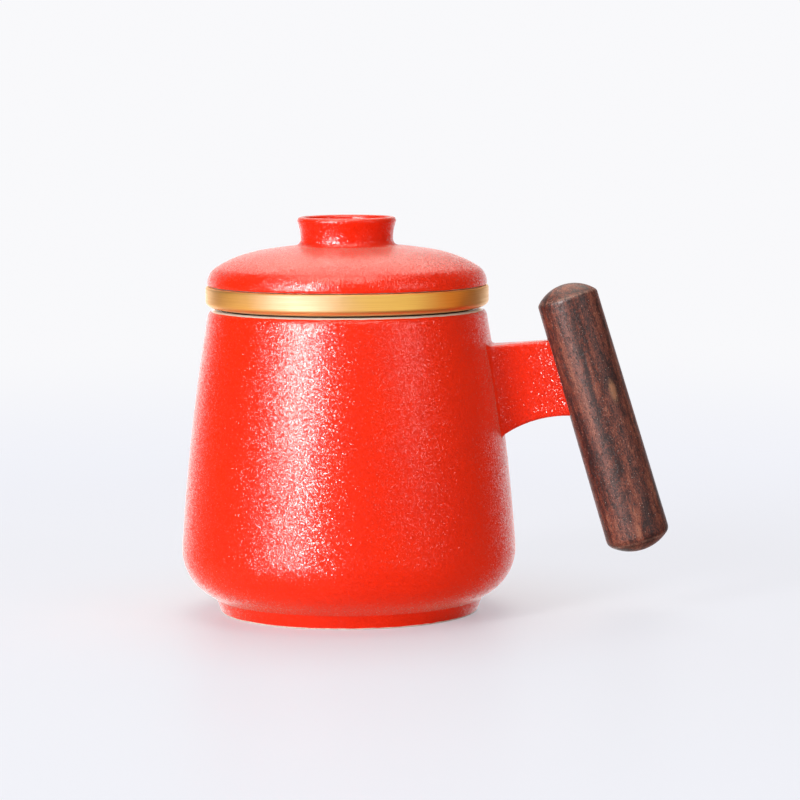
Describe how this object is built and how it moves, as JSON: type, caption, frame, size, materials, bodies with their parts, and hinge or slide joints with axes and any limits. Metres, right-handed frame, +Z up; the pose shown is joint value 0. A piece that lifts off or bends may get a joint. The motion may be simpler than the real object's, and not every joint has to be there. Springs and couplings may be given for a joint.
{
  "type": "lidded tea mug with infuser",
  "caption": "Round-bellied ceramic tea mug with a lift-out perforated infuser, a domed lid with a dished knob, and a wooden grip on a side lug.",
  "frame": {"origin": "centre of the foot ring, on the surface that the mug stands on", "axes": "+Z up along the mug's axis, +X from the mug's axis towards the grip, +Y across"},
  "size_m": [0.1395, 0.0958, 0.1129],
  "materials": {
    "frosted_glaze": "fine sandy orange-red glaze, satin",
    "white_glaze": "smooth white glaze",
    "gold": "satin gold, finely brushed round the ring",
    "dark_wood": "oiled dark hardwood, fine open grain",
    "adhesive": "cured epoxy"
  },
  "bodies": {
    "mug": {"mug_body": "frosted_glaze", "handle_lug": "frosted_glaze", "wooden_grip": "dark_wood", "grip_adhesive": "adhesive"},
    "infuser": {"infuser_cup": "white_glaze", "gold_band": "gold"},
    "lid": {"lid": "frosted_glaze"}
  },
  "joints": [
    {"name": "infuser_lift", "type": "slide", "parent": "mug", "child": "infuser", "axis": [0, 0, 1], "range_m": [0, 0.075]},
    {"name": "lid_lift", "type": "slide", "parent": "infuser", "child": "lid", "axis": [0, 0, 1], "range_m": [0, 0.06]}
  ]
}
